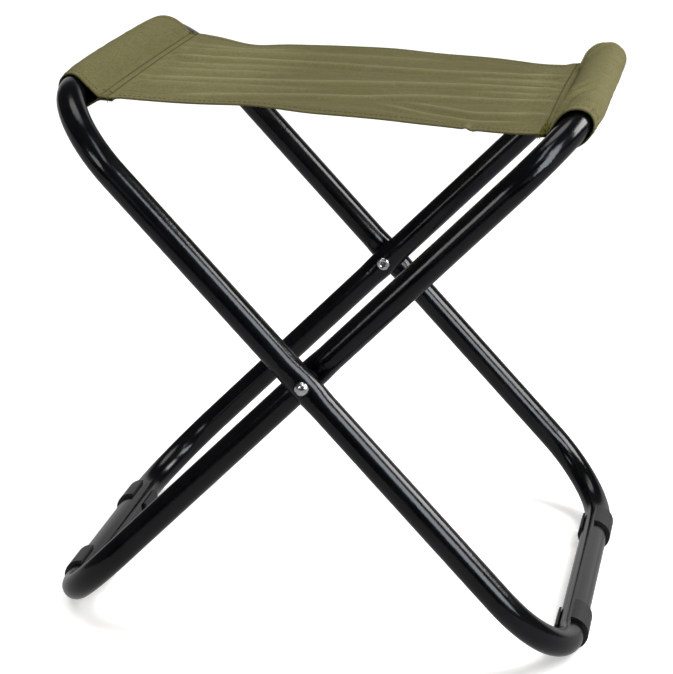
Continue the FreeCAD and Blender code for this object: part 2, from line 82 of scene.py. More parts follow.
FLAP_SHIFT = 1.0            # how much shorter the flap is than the layer above it
LOOSE_FROM_TO = (55.0, 112.0)   # a sleeve gets tighter between these distances from mid-seat
TOP_RUN = 0.32              # share of the way round a bar where the free run above it ends
LOW_RUN = 0.62              # and where the free run below it starts
END_BULGE = 0.35            # share of the top run's bulge that stays at a sleeve's ends
panel_reach = bar_reach - FLAP_REACH
hem_edge = cloth_half - HEM_WIDTH

# How finely the cloth is divided.
AROUND_POINTS = 64          # round a bar
SEAM_POINTS = 13            # across a seam, above
FLAP_POINTS = 10            # across a seam, below
STATIONS = 129              # sections worked out along a bar
SLEEVE_SPACING = 2.0        # between a sleeve's columns
PANEL_SPACING = 1.1         # between the panel's columns
PANEL_ROWS = 112            # from seam to seam
ROUND_TUBE = np.linspace(0, 2 * math.pi, 72, endpoint=False)


def straight_reach(tube):
    """How far along y a frame's bars run straight before they bend."""
    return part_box(tube)[1].y / MM - tube_radius - BEND_RADIUS


SLEEVES = {
    "left": dict(
        side=-1,
        tube="outer_frame_tube",
        straight=straight_reach("outer_frame_tube"),  # where the bar starts to bend
        edge_drop=(1.5, 0.9),     # the panel's edge below the bar's centre: middle, and more at the ends
        end_droop=(1.0, 1.8),     # how far the sleeve's ends hang inwards and down
        droop_from=90.0,
        rear_droop=0.1,           # the rear end's share of that droop
        crown=2.9,                # how far the sleeve stands off the bar's outer top at mid-length
        recede=15.0,              # how much further in the ends lie on the outer and under side
        pinch_spread=0.0,         # how much further from the bar the layers meet at the ends
        top_bulge=2.2,            # how far the free run above the bar rises
        under_slack=3.0,          # how far the one below it hangs
        # Short slanting folds: start and end as (distance round the sleeve, y), height and half width.
        drag_folds=[((11, 104), (26, 88), 1.1, 2.4)],
        tangle=(16, 0.3, 3),      # of the seam's front end: threads, how far they stand up, cut tails
    ),
    "right": dict(
        side=1,
        tube="inner_frame_tube",
        straight=straight_reach("inner_frame_tube"),
        edge_drop=(6.5, 4.1),
        end_droop=(5.6, 5.2),
        droop_from=86.0,
        rear_droop=1.0,
        crown=0.0,
        recede=5.0,
        pinch_spread=2.6,
        top_bulge=3.0,
        under_slack=4.0,
        drag_folds=[
            ((11, -114), (34, -76), 3.6, 2.3),
            ((12, -84), (32, -48), 2.0, 2.8),
            ((8, 82), (25, 120), 3.6, 2.3),
            ((14, 66), (36, 104), 2.1, 2.8),
        ],
        tangle=(130, 1.0, 16),
    ),
}

# Pressed fold lines along the seat: their (x, y) points, the height of the ridge and its half width.
CREASES = [
    ([(-136, 27), (-55, 42), (38, 42), (87, 48), (137, 60)], 0.85, 1.5),
    ([(-136, -47), (-40, -32), (46, -8), (137, 2)], 0.8, 1.9),
    ([(-110, -104), (-24, -76), (52, -52), (137, -37)], 0.85, 1.6),
    ([(36, -71), (70, -81), (92, -88), (137, -76)], 0.65, 1.5),
    ([(22, -82), (72, -96), (94, -104), (132, -98)], 0.6, 1.5),
    ([(-136, 64), (-90, 68), (-10, 84), (60, 88)], 0.75, 4.0),
    ([(-136, 84), (-104, 90), (-52, 96)], 0.6, 3.4),
    ([(-136, 2), (-95, 10), (-30, 16)], 0.8, 3.8),
    ([(-136, -70), (-92, -66), (-10, -56)], 0.85, 4.4),
    ([(-136, -18), (-84, -12), (-34, -6)], 0.65, 3.6),
    ([(64, 18), (137, 26)], 0.45, 3.0),
    ([(76, -22), (137, -14)], 0.4, 2.6),
]
CREASE_FADE = 30.0          # a fold line that ends on the seat dies away over this length
RIDGE_SCALE = 1.7           # a ridge's peak, times its height in the list
HOLLOW_DEPTH = 2.0          # of the shallow hollow in front of each ridge
HOLLOW_SHIFT = 9.0          # from the ridge's top to the hollow's
HOLLOW_WIDTH = 8.0
LINE_KNOTS = 200            # points of a smoothed fold line
LINE_SMOOTHING = 31         # points that each of them is averaged over
HELD_SHARE = 0.016          # share of the panel at each end that the seam holds flat
SEAM_HOLD = (6.0, 18.0)     # a fold line's painted highlight reaches full strength between these distances from a seam
SEAM_COLOUR = 0.55          # and has this share of it at the seam

# Slow waves of the two long edges: (where along x, how wide, how high).
FRONT_EDGE_WAVES = [(-44, 34, 2.6), (118, 26, -1.2), (30, 34, 0.8)]
REAR_EDGE_WAVES = [(-98, 24, -5.2), (-62, 20, -1.2), (2, 34, 2.0), (116, 24, -1.8)]
EDGE_WAVE_DEPTH = 34.0      # how far into the seat an edge wave is felt
WAIST = 3.0                 # how far each long edge pulls in at mid-seat
SEAT_SAG = 0.2
PUCKER_HEIGHT = 1.15        # small waves across the seat that start at each seam
PUCKER_REACH = 26.0
BILLOW_HEIGHT = 1.25        # long slow waves of the whole seat
RIPPLE_HEIGHT = 0.16        # and short ones
TUCK = (93.0, 1.6)          # x and half width of a pinched tuck in the front edge
DENT = (96.5, 1.8)          # and of the dent beside it
TUCK_HEIGHT = 0.9
TUCK_START = (101.0, 112.0)     # both come in between these distances from mid-seat

EDGE_MARK = 1.6             # width of the darker line along the edges: painted shade at the fold, with a little real soil
MIDDLE_SHADE_START = (40, 110)      # the seat's darker middle, a painted shade, starts between these distances from the left seam
MIDDLE_SHADE_END = np.array([34, 6])    # and ends between these from the right one

STITCH_PITCH = 3.3
STITCH_LENGTH = 2.7
SEAM_SWAY = 0.12            # how far a stitch strays, in rows of the grid
HEM_SWAY = 0.15             # and in millimetres, on a hem
THREAD_RADIUS = 0.23
HEM_THREAD_RADIUS = 0.17
TACK_RADIUS = 0.2
THREAD_SIDES = 6
ASKEW = np.array([0.31, 0.22, 0.92])    # a direction that no thread runs along
HEM_STITCH_INSET = 1.5      # from the hem's inner edge to its row of stitches
FRONT_TACK = (11.0, 12.5)   # a seam's knotted end: its middle from the cloth's edge, and its half length
REAR_TACK = (5.0, 3.0)
REAR_TACKS = 20
REAR_WILDNESS = 0.3
SEAM_ROW_MARGIN = 3.0       # from the cloth's edge to a seam's first stitch
hem_row = hem_edge + HEM_STITCH_INSET


# ---- small tools


def ease(value, start, end):
    """0 before start, 1 after end and an even S between them."""
    share = np.clip((value - start) / (end - start), 0.0, 1.0)
    return share * share * (3 - 2 * share)


def bell(value, centre, width):
    return np.exp(-(((value - centre) / width) ** 2))


def field(xs, ys, x_scale, y_scale, offset):
    """Smooth noise from -1 to 1 over a grid, with its own size along each direction."""
    points = np.stack([np.asarray(xs / x_scale, float), np.asarray(ys / y_scale, float)], axis=-1)
    flat = points.reshape(-1, 2)
    values = [noise.noise(Vector((x, y, offset))) for x, y in flat]
    return np.array(values).reshape(points.shape[:-1])


def along(points):
    """The distance run along a polyline, at each of its points."""
    steps = np.linalg.norm(np.diff(points, axis=0), axis=1)
    return np.concatenate([[0.0], np.cumsum(steps)])


def resample(points, count):
    """The same polyline with its points evenly spaced."""
    run = along(points)
    wanted = np.linspace(0, run[-1], count)
    return np.stack([np.interp(wanted, run, points[:, axis]) for axis in range(points.shape[1])], axis=-1)


def unit(vectors):
    return vectors / np.linalg.norm(vectors, axis=-1, keepdims=True)


def soften(points, passes):
    """Rounds the kinks of an evenly spaced polyline and keeps its ends."""
    points = points.copy()
    for _ in range(passes):
        points[1:-1] = 0.25 * points[:-2] + 0.5 * points[1:-1] + 0.25 * points[2:]
    return points


# ---- materials

WEAVE_PITCH = 0.9           # millimetres from one yarn to the next but one
CLOTH_DARK = (0.072, 0.067, 0.028, 1)
CLOTH_LIGHT = (0.122, 0.113, 0.051, 1)
CLOTH_BROWNER = (0.096, 0.084, 0.043, 1)
CLOTH_GREENER = (0.082, 0.081, 0.028, 1)
# darkest olive: dark slubs, and painted shade in the weave's gaps, seam grooves, mid-seat and edges
CLOTH_SHADOW = (0.029, 0.027, 0.010, 1)
# painted highlight along the fold lines' ridges
CLOTH_RIDGE_HIGHLIGHT = (0.205, 0.193, 0.104, 1)


def put(tree, kind, inputs=None, **settings):
    """A new node with its settings, and its inputs given as values or as other nodes' outputs."""
    node = tree.nodes.new(kind)
    for name, value in settings.items():
        setattr(node, name, value)
    for name, value in (inputs or {}).items():
        socket = node.inputs[name]
        if isinstance(value, bpy.types.NodeSocket):
            tree.links.new(value, socket)
        else:
            socket.default_value = value
    return node


def new_material(name, **values):
    """A material whose shader has the named uniform values set on its own sockets."""
    material = bpy.data.materials.new(name)
    material.use_nodes = True
    shader = material.node_tree.nodes["Principled BSDF"]
    for socket, value in values.items():
        shader.inputs[socket.replace("_", " ")].default_value = value
    return material, material.node_tree, shader


def drive(tree, shader, **outputs):
    """Links other nodes' outputs to the shader's named sockets."""
    for socket, output in outputs.items():
        tree.links.new(output, shader.inputs[socket.replace("_", " ")])


def math_node(tree, operation, first, second=0.0):
    return put(tree, "ShaderNodeMath", {0: first, 1: second}, operation=operation).outputs[0]


def noise_node(tree, vector, scale, detail=3.0, roughness=0.55):
    inputs = {"Vector": vector, "Scale": scale, "Detail": detail, "Roughness": roughness}
    return put(tree, "ShaderNodeTexNoise", inputs).outputs["Fac"]


def remap(tree, value, low, high, new_low=0.0, new_high=1.0, **settings):
    inputs = {"Value": value, "From Min": low, "From Max": high, "To Min": new_low, "To Max": new_high}
    return put(tree, "ShaderNodeMapRange", inputs, **settings).outputs["Result"]


def blend_colour(tree, share, first, second):
    return put(tree, "ShaderNodeMix", {0: share, 6: first, 7: second}, data_type="RGBA").outputs[2]


def bump(tree, height, strength, distance, normal=None):
    inputs = {"Height": height, "Strength": strength, "Distance": distance}
    if normal is not None:
        inputs["Normal"] = normal
    return put(tree, "ShaderNodeBump", inputs).outputs["Normal"]


def stretched(tree, vector, scale):
    return put(tree, "ShaderNodeMapping", {"Vector": vector, "Scale": scale}).outputs["Vector"]


def flat_coordinates(tree):
    """The cloth's flat coordinates as one vector, and its two parts."""
    flat = put(tree, "ShaderNodeUVMap", uv_map="flat").outputs["UV"]
    parts = put(tree, "ShaderNodeSeparateXYZ", {"Vector": flat}).outputs
    return flat, parts["X"], parts["Y"]


def object_coordinates(tree):
    return put(tree, "ShaderNodeTexCoord").outputs["Object"]


def make_paint():
    """Black powder coat: nearly mirror smooth, with a fine orange peel and faint rubbed patches."""
    material, tree, shader = new_material("black_powder_coat", IOR=1.40)
    place = object_coordinates(tree)
    rubbed = noise_node(tree, place, 38.0, 6.0, 0.65)
    dusty = noise_node(tree, place, 900.0, 2.0)
    shade = remap(tree, rubbed, 0.35, 0.75)
    colour = blend_colour(tree, shade, (0.0009, 0.0012, 0.0019, 1), (0.0034, 0.0038, 0.0048, 1))
    specks = remap(tree, dusty, 0.72, 0.80, 0.0, 0.35)
    colour = blend_colour(tree, specks, colour, (0.035, 0.035, 0.036, 1))
    gloss = remap(tree, rubbed, 0.3, 0.75, 0.13, 0.21)
    scratches = noise_node(tree, stretched(tree, place, (420.0, 60.0, 420.0)), 6.0, 4.0, 0.7)
    gloss = math_node(tree, "ADD", gloss, remap(tree, scratches, 0.62, 0.8, 0.0, 0.14))
    peel = noise_node(tree, place, 420.0, 2.0)
    normal = bump(tree, peel, 0.10, 0.0006)
    normal = bump(tree, dusty, 0.05, 0.0002, normal)
    drive(tree, shader, Base_Color=colour, Roughness=gloss, Normal=normal)
    return material


def make_clip_plastic():
    """Matte black moulded plastic with a fine spark-eroded grain and scuffed high spots."""
    material, tree, shader = new_material("clip_plastic", IOR=1.41)
    place = object_coordinates(tree)
    scuffs = noise_node(tree, place, 150.0, 6.0, 0.7)
    colour = blend_colour(tree, remap(tree, scuffs, 0.45, 0.8),
                          (0.0055, 0.0056, 0.0062, 1), (0.021, 0.021, 0.022, 1))
    gloss = remap(tree, scuffs, 0.3, 0.8, 0.36, 0.54)
    grain = noise_node(tree, place, 2600.0, 2.0)
    normal = bump(tree, grain, 0.35, 0.0002)
    normal = bump(tree, scuffs, 0.15, 0.0004, normal)
    drive(tree, shader, Base_Color=colour, Roughness=gloss, Normal=normal)
    return material


def make_metal(name, bright, dull, smooth, rough):
    """Plated steel: bright where it is polished, with hairlines and duller handled patches."""
    material, tree, shader = new_material(name, Metallic=1.0)
    place = object_coordinates(tree)
    patches = noise_node(tree, place, 420.0, 4.0, 0.6)
    colour = blend_colour(tree, remap(tree, patches, 0.35, 0.75), bright, dull)
    hairlines = noise_node(tree, stretched(tree, place, (900.0, 900.0, 9000.0)), 1.0, 3.0, 0.7)
    gloss = remap(tree, patches, 0.3, 0.8, smooth, rough)
    gloss = math_node(tree, "ADD", gloss, remap(tree, hairlines, 0.55, 0.8, 0.0, 0.12))
    drive(tree, shader, Base_Color=colour, Roughness=gloss, Normal=bump(tree, hairlines, 0.12, 0.0002))
    return material


def weave_height(tree, u, v, pitch):
    """Plain weave: warp and weft take turns on top."""
    turn = 2 * math.pi / pitch
    warp = math_node(tree, "SINE", math_node(tree, "MULTIPLY", u, turn))
    weft = math_node(tree, "SINE", math_node(tree, "MULTIPLY", v, turn))
    over = math_node(tree, "MULTIPLY", warp, weft)
    return remap(tree, over, -1.0, 1.0)


def make_cloth():
    """Olive woven polyester: plain weave, uneven slubby yarns; painted highlight along the folds; painted
    shade in the weave's gaps, the seam grooves, mid-seat and at the edges, where a little real soil adds to
    it.
    """
    material, tree, shader = new_material("olive_polyester", IOR=1.45, Specular_IOR_Level=0.06,
                                          Sheen_Weight=0.012, Sheen_Roughness=0.45)
    shader.inputs["Sheen Tint"].default_value = (0.80, 0.76, 0.42, 1)
    flat, u, v = flat_coordinates(tree)
    weave = weave_height(tree, u, v, WEAVE_PITCH * MM)
    warp_yarns = noise_node(tree, stretched(tree, flat, (60.0, 2300.0, 1.0)), 1.0, 2.0)
    weft_yarns = noise_node(tree, stretched(tree, flat, (2300.0, 60.0, 1.0)), 1.0, 2.0)
    yarns = math_node(tree, "ADD", warp_yarns, weft_yarns)
    mottle = noise_node(tree, flat, 75.0, 5.0, 0.6)
    slubs = noise_node(tree, stretched(tree, flat, (520.0, 330.0, 1.0)), 1.0, 3.0, 0.7)
    cast = noise_node(tree, flat, 16.0, 3.0, 0.5)
    colour = blend_colour(tree, remap(tree, yarns, 0.75, 1.25), CLOTH_DARK, CLOTH_LIGHT)
    for pattern, low, high, amount, target in (
        (slubs, 0.5, 0.8, 0.8, CLOTH_LIGHT),
        (slubs, 0.5, 0.2, 0.7, CLOTH_SHADOW),
        (mottle, 0.35, 0.7, 0.42, CLOTH_BROWNER),
        (cast, 0.35, 0.65, 0.25, CLOTH_GREENER),
    ):
        colour = blend_colour(tree, remap(tree, pattern, low, high, 0.0, amount), colour, target)
    # painted shade in the gaps between the yarns
    colour = blend_colour(tree, remap(tree, weave, 0.0, 0.5, 0.35, 0.0), colour, CLOTH_SHADOW)
    # painted highlight along the fold lines, and painted shade (with a little real soil at the edges)
    for mark, amount, target in (("ridge_highlight", 0.56, CLOTH_RIDGE_HIGHLIGHT), ("shade_and_soil", 0.5, CLOTH_SHADOW)):
        share = put(tree, "ShaderNodeAttribute", attribute_name=mark).outputs["Fac"]
        colour = blend_colour(tree, math_node(tree, "MULTIPLY", share, amount), colour, target)
    gloss = remap(tree, mottle, 0.3, 0.7, 0.72, 0.88)
    normal = bump(tree, weave, 0.35, 0.00018)
    normal = bump(tree, yarns, 0.25, 0.00015, normal)
    normal = bump(tree, mottle, 0.25, 0.0006, normal)
    drive(tree, shader, Base_Color=colour, Roughness=gloss, Normal=normal)
    return material


def make_thread(name, dark, light):
    """Twisted sewing thread: its colour and bump follow the ply."""
    material, tree, shader = new_material(name, IOR=1.45, Specular_IOR_Level=0.08, Roughness=0.75)
    _, run, around = flat_coordinates(tree)
    twist = math_node(tree, "ADD", math_node(tree, "MULTIPLY", run, 9000.0),
                      math_node(tree, "MULTIPLY", around, 2 * math.pi))
    ply = remap(tree, math_node(tree, "SINE", twist), -1.0, 1.0)
    fuzz = noise_node(tree, object_coordinates(tree), 1500.0, 3.0)
    shade = math_node(tree, "MULTIPLY", ply, remap(tree, fuzz, 0.3, 0.7, 0.5, 1.0))
    colour = blend_colour(tree, shade, dark, light)
    drive(tree, shader, Base_Color=colour, Normal=bump(tree, ply, 0.4, 0.0001))
    return material


paint = make_paint()
clip_plastic = make_clip_plastic()
rivet_steel = make_metal("rivet_steel", (0.78, 0.78, 0.80, 1), (0.52, 0.52, 0.54, 1), 0.16, 0.32)
joiner_steel = make_metal("joiner_steel", (0.40, 0.40, 0.41, 1), (0.24, 0.24, 0.25, 1), 0.35, 0.50)
cloth = make_cloth()
seam_thread = make_thread("seam_thread", (0.030, 0.028, 0.010, 1), (0.070, 0.066, 0.024, 1))
hem_thread = make_thread("hem_thread", (0.058, 0.054, 0.022, 1), (0.097, 0.091, 0.040, 1))
tack_thread = make_thread("tack_thread", (0.010, 0.012, 0.002, 1), (0.270, 0.275, 0.045, 1))

TACK_FINISH = {"left": hem_thread, "right": tack_thread}
NODE_FINISH = (
    (paint, ["outer_frame_tube", "inner_frame_tube"]),
    (joiner_steel, ["outer_frame_joiner", "inner_frame_joiner"]),
    (rivet_steel, ["front_rivet", "rear_rivet"]),
    (clip_plastic, ["front_spacer_washer", "rear_spacer_washer", "foot_clip_outer_front",
                    "foot_clip_outer_rear", "foot_clip_inner_front", "foot_clip_inner_rear"]),
)
for finish, node_names in NODE_FINISH:
    for node_name in node_names:
        node_mesh = frame["nodes"][node_name].data
        node_mesh.materials.clear()
        node_mesh.materials.append(finish)


# ---- cloth surfaces


def across_columns(spacing):
    """(y, depth) across the cloth: from one hem's cut end round its fold, over the seat and back."""
    flat_end = cloth_half - FOLD_RADIUS
    half = [(y, 0.0) for y in np.linspace(0, flat_end, round(flat_end / spacing) + 1)]
    for turn in np.radians(FOLD_TURNS):
        half.append((flat_end + FOLD_RADIUS * math.sin(turn), FOLD_RADIUS * (1 - math.cos(turn))))
    half += [(y, 2 * FOLD_RADIUS) for y in np.linspace(flat_end, hem_edge, 7)]
    other = [(-y, depth) for y, depth in reversed(half[1:])]
    return np.array(other + half)


def edge_height(sleeve, y):
    """Height of the line where a sleeve meets the panel, from the bars' centre."""
    middle, more = sleeve["edge_drop"]
    return -(middle + more * (y / cloth_half) ** 2)


def inside_hem(y):
    """The same place, kept off the rounded edge of the hem."""
    return np.clip(y, -cloth_half + FOLD_RADIUS, cloth_half - FOLD_RADIUS)


def tube_outline(sleeve, y, radius):
    """The frame's tube cut across at y, with the cloth's clearance: (outwards, up) from the bar."""
    sine = min(max(abs(y) - sleeve["straight"], 0.0) / BEND_RADIUS, 0.95)
    cosine = math.sqrt(1 - sine * sine)
    down = BEND_RADIUS * (1 - cosine)
    length = radius / cosine * np.cos(ROUND_TUBE) + down
    width = radius * np.sin(ROUND_TUBE)
    outwards = -length * math.cos(leg_slope) - width * math.sin(leg_slope)
    up = -length * math.sin(leg_slope) + width * math.cos(leg_slope)
    return np.stack([outwards, up], axis=-1)


def sleeve_section(sleeve, y):
    """The cloth at y, (outwards, up) from the bar's centre: from the panel's edge over and round the bar
    to the end of the flap underneath."""
    hemmed = ease(abs(y), hem_edge + HEM_SWELL[0], hem_edge + HEM_SWELL[1])
    radius = tube_radius + WRAP_GAP + HEM_BULK * hemmed
    droop = ease(abs(y), sleeve["droop_from"], cloth_half + DROOP_END)
    if y > 0:
        droop *= sleeve["rear_droop"]
    bar = radius * np.stack([np.cos(ROUND_TUBE), np.sin(ROUND_TUBE)], axis=-1)
    bar -= droop * np.array(sleeve["end_droop"])
    crown = sleeve["crown"] * math.sqrt(max(1 - (y / cloth_half) ** 2, 0.0))
    crest = bar + crown * np.array(CROWN_WAY)
    reach = PINCH_REACH + sleeve["pinch_spread"] * (abs(y) / cloth_half) ** 6
    edge = np.array([-FLAP_REACH, edge_height(sleeve, y)])
    pinch = np.array([-reach, edge[1] + PINCH_RISE])
    gap = LAYER_GAP + 2 * LAYER_GAP * hemmed
    cloud = np.concatenate([[pinch], bar, crest, tube_outline(sleeve, y, radius)])
    order = convex_hull_2d([Vector(point) for point in cloud])
    first = order.index(0)
    loop = cloud[[order[(first - step) % len(order)] for step in range(len(order))]]
    under_pinch = pinch - (0, gap)
    around = resample(np.concatenate([loop, [under_pinch]]), AROUND_POINTS)
    around = relax_runs(sleeve, around, 1 - ease(abs(y), *LOOSE_FROM_TO))
    seam_top = np.linspace(edge, pinch, SEAM_POINTS)[:-1]
    flap = np.linspace(under_pinch, edge + (FLAP_SHIFT, -gap), FLAP_POINTS)[1:]
    return soften(np.concatenate([seam_top, around, flap]), 6)


def relax_runs(sleeve, around, looseness):
    """Lets the two free runs of a sleeve bow: the top one rises a little, the lower one hangs slack."""
    share = np.linspace(0, 1, len(around))
    top_run = np.sin(np.pi * np.clip(share / TOP_RUN, 0, 1)) ** 2
    low_run = np.sin(np.pi * np.clip((share - LOW_RUN) / (1 - LOW_RUN), 0, 1)) ** 2
    bow = sleeve["top_bulge"] * (END_BULGE + (1 - END_BULGE) * looseness) * top_run
    bow += sleeve["under_slack"] * looseness * low_run
    return around - inward_normals(around) * bow[:, None]


def inward_normals(section):
    steps = np.gradient(section, axis=0)
    return unit(np.stack([steps[:, 1], -steps[:, 0]], axis=-1))


def sleeve_wrinkles(sleeve, run, y):
    """How far the cloth of a sleeve stands out at each distance round it, in millimetres."""
    loose = ease(run, *WRINKLES_START) * (1 - ease(run, *WRINKLES_END))
    place = np.full_like(run, y)
    out = 0.35 * loose * (1 + field(run, place, 13.0, 34.0, 3.1))
    out += 0.22 * loose * (1 + field(run, place, 30.0, 9.0, 8.4))
    for start, end, height, width in sleeve["drag_folds"]:
        out += drag_fold(run, y, start, end, height, width)
    for row in SEAM_ROWS:
        out -= GROOVE_DEPTH * bell(run, FLAP_REACH - row, 1.0)
    return out


def drag_fold(run, y, start, end, height, width):
    """A short slanting fold between two (run, y) places: a ridge with a hollow beside it."""
    (run_start, y_start), (run_end, y_end) = start, end
    share = (y - y_start) / (y_end - y_start)
    middle = run_start + share * (run_end - run_start)
    fade = ease(share, *FOLD_RISES) * (1 - ease(share, *FOLD_FALLS))
    hollow = bell(run, middle + 1.8 * width, width)
    return height * fade * (bell(run, middle, width) - 0.55 * hollow)


def sleeve_surface(name):
    """A sleeve's points, rows round the bar by columns across; how far round each lies; the columns."""
    sleeve = SLEEVES[name]
    columns = across_columns(SLEEVE_SPACING)
    stations = np.linspace(-cloth_half, cloth_half, STATIONS)
    sections = np.array([sleeve_section(sleeve, y) for y in stations])
    surface = []
    runs = []
    for y, depth in columns:
        inside = inside_hem(y)
        recess = math.copysign(1.0, y) * end_recess(sleeve, sections, inside)
        section = section_at(sections, stations, inside - recess)
        run = along(section)
        shift = depth - sleeve_wrinkles(sleeve, run, inside)
        section = section + inward_normals(section) * shift[:, None]
        x = sleeve["side"] * (bar_reach + section[:, 0])
        surface.append(np.stack([x * MM, (y - recess) * MM, section[:, 1] * MM + bar_height], axis=-1))
        runs.append(run)
    return np.array(surface).transpose(1, 0, 2), np.array(runs).T, columns


def end_recess(sleeve, sections, y):
    """How far the bend that fills the sleeve's end pushes each row of its cloth back along the bar."""
    run = along(sections[len(sections) // 2])
    start, end = RECESS_START, run[-1] - RECESS_END
    round_bar = ease(run, *start) * (1 - ease(run, *end))
    return sleeve["recede"] * round_bar * ease(abs(y), 45, cloth_half)


def section_at(sections, stations, ys):
    """The cloth's section with every row taken at its own place along the bar."""
    place = np.clip((ys - stations[0]) / (stations[1] - stations[0]), 0, len(stations) - 1.001)
    low = place.astype(int)
    part = (place - low)[:, None]
    rows = np.arange(sections.shape[1])
    return sections[low, rows] * (1 - part) + sections[low + 1, rows] * part


def crease_ridge(points, width, x, y):
    """One fold line's ridge at each place, and the hollow in front of it, as shares of their full size."""
    knots = np.array(points, float)
    first, last = knots[0, 0], knots[-1, 0]
    fine = np.linspace(first, last, LINE_KNOTS)
    line = np.pad(np.interp(fine, knots[:, 0], knots[:, 1]), LINE_SMOOTHING // 2,
                  mode="reflect", reflect_type="odd")
    line = np.convolve(line, np.ones(LINE_SMOOTHING) / LINE_SMOOTHING, mode="valid")
    middle = np.interp(x, fine, line) + 0.5 * field(x, 0 * x, 17.0, 1.0, knots[0, 1])
    fade = 1.0 + 0 * x
    if first > 3 - panel_reach:
        fade = fade * ease(x, first - 4, first + CREASE_FADE)
    if last < panel_reach - 3:
        fade = fade * (1 - ease(x, last - CREASE_FADE, last + 6))
    share = fade / (1 + ((y - middle) / width) ** 2)
    return share, fade * bell(y, middle - HOLLOW_SHIFT, HOLLOW_WIDTH)


def panel_heights(x, y):
    """Height of the seat between the sleeves, from the bars' centre, and the strength of the painted
    highlight along its fold lines.
    """
    share = (x + panel_reach) / (2 * panel_reach)
    free = np.clip(4 * share * (1 - share), 0, 1)
    height = (1 - share) * edge_height(SLEEVES["left"], y) + share * edge_height(SLEEVES["right"], y)
    height -= SEAT_SAG * free
    held = ease(share, 0.0, HELD_SHARE) * (1 - ease(share, 1 - HELD_SHARE, 1.0))
    ridge_highlight = np.zeros_like(x)
    seam_distance = panel_reach - np.abs(x)
    calm = SEAM_COLOUR + (1 - SEAM_COLOUR) * ease(seam_distance, *SEAM_HOLD)
    for points, rise, width in CREASES:
        ridge, hollow = crease_ridge(points, width, x, y)
        height += held * (RIDGE_SCALE * rise * ridge - HOLLOW_DEPTH * hollow)
        # painted highlight along each ridge, weaker near the seams
        ridge_highlight = np.maximum(ridge_highlight, ridge * min(1.0, 2.0 / width) * calm)
    for side, waves in ((-1, FRONT_EDGE_WAVES), (1, REAR_EDGE_WAVES)):
        near_edge = np.exp(-((cloth_half - side * y) / EDGE_WAVE_DEPTH) ** 2)
        for centre, width, rise in waves:
            height += held * rise * near_edge * bell(x, centre, width)
    puckers = field(0 * x, y, 1.0, 6.5, 2.7) + 0.6 * field(0 * x, y, 1.0, 3.1, 5.2)
    height += held * PUCKER_HEIGHT * puckers * np.exp(-seam_distance / PUCKER_REACH)
    height += held * BILLOW_HEIGHT * field(x, y, 95.0, 17.0, 1.3)
    height += held * RIPPLE_HEIGHT * field(x, y, 28.0, 8.0, 4.6)
    at_edge = ease(-y, *TUCK_START)
    tuck = bell(x, *TUCK) * at_edge
    dent = bell(x, *DENT) * at_edge
    height += TUCK_HEIGHT * tuck - TUCK_HEIGHT * dent
    # the tuck's ridge gets half the painted highlight too
    return height, np.maximum(ridge_highlight, 0.5 * tuck)


def panel_surface():
    """The panel's points, rows along the seat by columns across; the painted ridge highlight at each; the
    columns.
    """
    columns = across_columns(PANEL_SPACING)
    xs = np.linspace(-panel_reach, panel_reach, PANEL_ROWS)
    x, y = np.meshgrid(xs, columns[:, 0], indexing="ij")
    inside = inside_hem(y)
    height, ridge_highlight = panel_heights(x, inside)
    share = (x + panel_reach) / (2 * panel_reach)
    waist = WAIST * 4 * share * (1 - share) * (np.abs(y) / cloth_half) ** 2 * np.sign(y)
    depth = np.broadcast_to(columns[:, 1], x.shape)
    lean = panel_lean(share, inside)
    surface = np.stack([
        (x + depth * lean[..., 0]) * MM,
        (y - waist) * MM,
        bar_height + (height + depth * lean[..., 1]) * MM,
    ], axis=-1)
    return surface, ridge_highlight, columns


def panel_lean(share, y):
    """The direction in which a hem's under layer lies: square to each sleeve at the ends, down between."""
    places, back = np.unique(y, return_inverse=True)
    ends = {}
    for name, sleeve in SLEEVES.items():
        normals = np.array([inward_normals(sleeve_section(sleeve, place))[0] for place in places])
        ends[name] = (normals * (sleeve["side"], 1))[back.ravel()].reshape(y.shape + (2,))
    left = (1 - ease(share, 0.0, 0.06))[..., None]
    right = ease(share, 0.94, 1.0)[..., None]
    return left * ends["left"] + right * ends["right"] + (1 - left - right) * np.array([0.0, -1.0])


# ---- meshes


def add_object(name, mesh, material):
    mesh.materials.append(material)
    obj = bpy.data.objects.new(name, mesh)
    bpy.context.scene.collection.objects.link(obj)
    return obj


def add_grid(name, surface, flat, attributes, flip, material):
    """A sheet of cloth from a grid of points, thickened, with its flat coordinates and its attributes."""
    rows, columns = surface.shape[:2]
    index = np.arange(rows * columns).reshape(rows, columns)
    corners = [index[:-1, :-1], index[:-1, 1:], index[1:, 1:], index[1:, :-1]]
    if flip:
        corners.reverse()
    faces = np.stack(corners, axis=-1).reshape(-1, 4)
    mesh = bpy.data.meshes.new(name)
    mesh.from_pydata(surface.reshape(-1, 3).tolist(), [], faces.tolist())
    layer = mesh.uv_layers.new(name="flat")
    loops = faces.ravel()
    layer.data.foreach_set("uv", flat.reshape(-1, 2)[loops].astype(np.float32).ravel())
    for attribute, values in attributes.items():
        stored = mesh.attributes.new(attribute, "FLOAT", "POINT")
        stored.data.foreach_set("value", values.astype(np.float32).ravel())
    mesh.update()
    obj = add_object(name, mesh, material)
    thickness = obj.modifiers.new("thickness", "SOLIDIFY")
    thickness.thickness = CLOTH_THICKNESS * MM
    thickness.offset = 0.0
    thickness.use_even_offset = False
    graph = bpy.context.evaluated_depsgraph_get()
    graph.update()
    made = bpy.data.meshes.new_from_object(obj.evaluated_get(graph))
    obj.modifiers.clear()
    obj.data = made
    made.shade_smooth()
    made.set_sharp_from_angle(angle=math.radians(55))
    return obj


